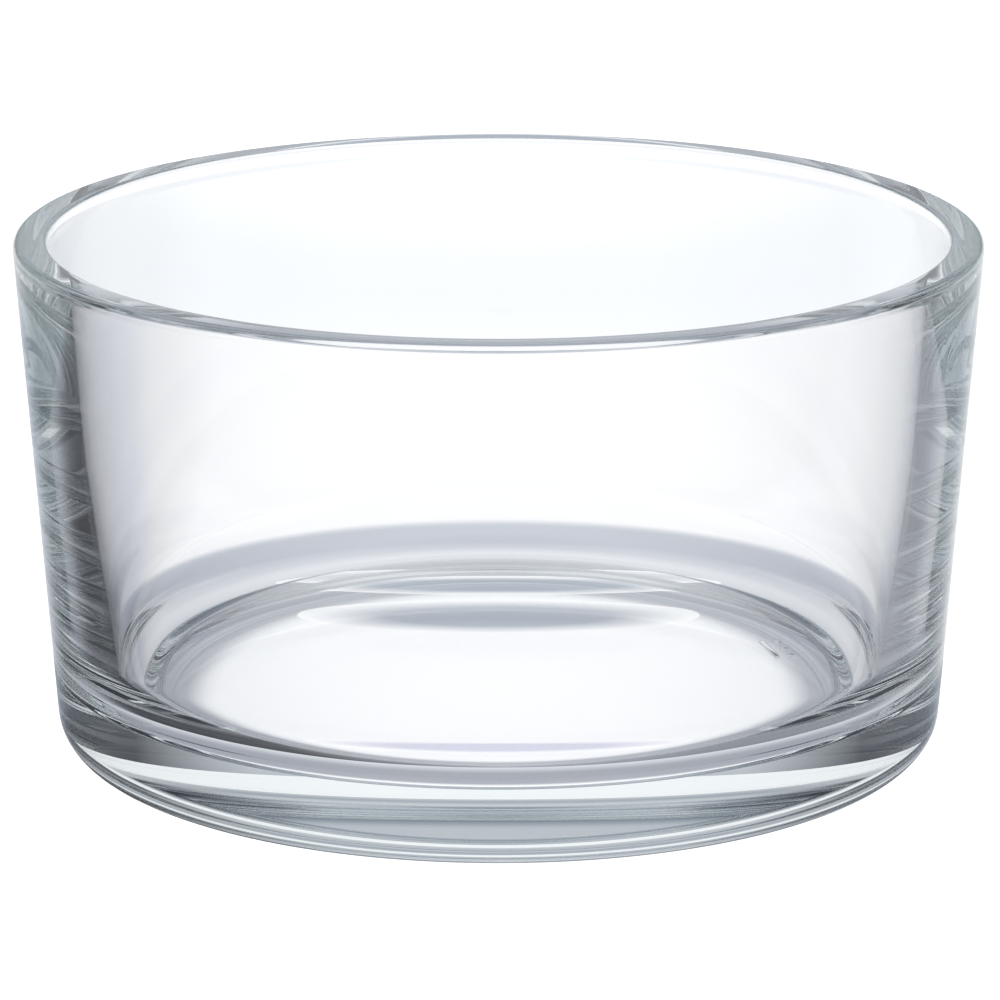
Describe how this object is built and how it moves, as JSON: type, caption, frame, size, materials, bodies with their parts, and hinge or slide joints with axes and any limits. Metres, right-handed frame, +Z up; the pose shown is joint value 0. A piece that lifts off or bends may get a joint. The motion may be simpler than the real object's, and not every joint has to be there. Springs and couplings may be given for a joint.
{
  "type": "crystallizing dish",
  "caption": "Heavy round clear-glass dish with a slightly flared straight wall that thickens downwards, a rounded level rim, a swept floor corner and a thick base on a flat foot ring.",
  "frame": {"origin": "centre of the foot ring, on the plane that the dish stands on", "axes": "+Z up along the dish's own axis of revolution, from the foot to the open mouth; +X and +Y level, and the mould mark lies between them"},
  "size_m": [0.14, 0.14, 0.076],
  "materials": {
    "clear_glass": "fire-polished pressed soda-lime glass"
  },
  "bodies": {
    "root": {"dish": "clear_glass"}
  },
  "joints": []
}
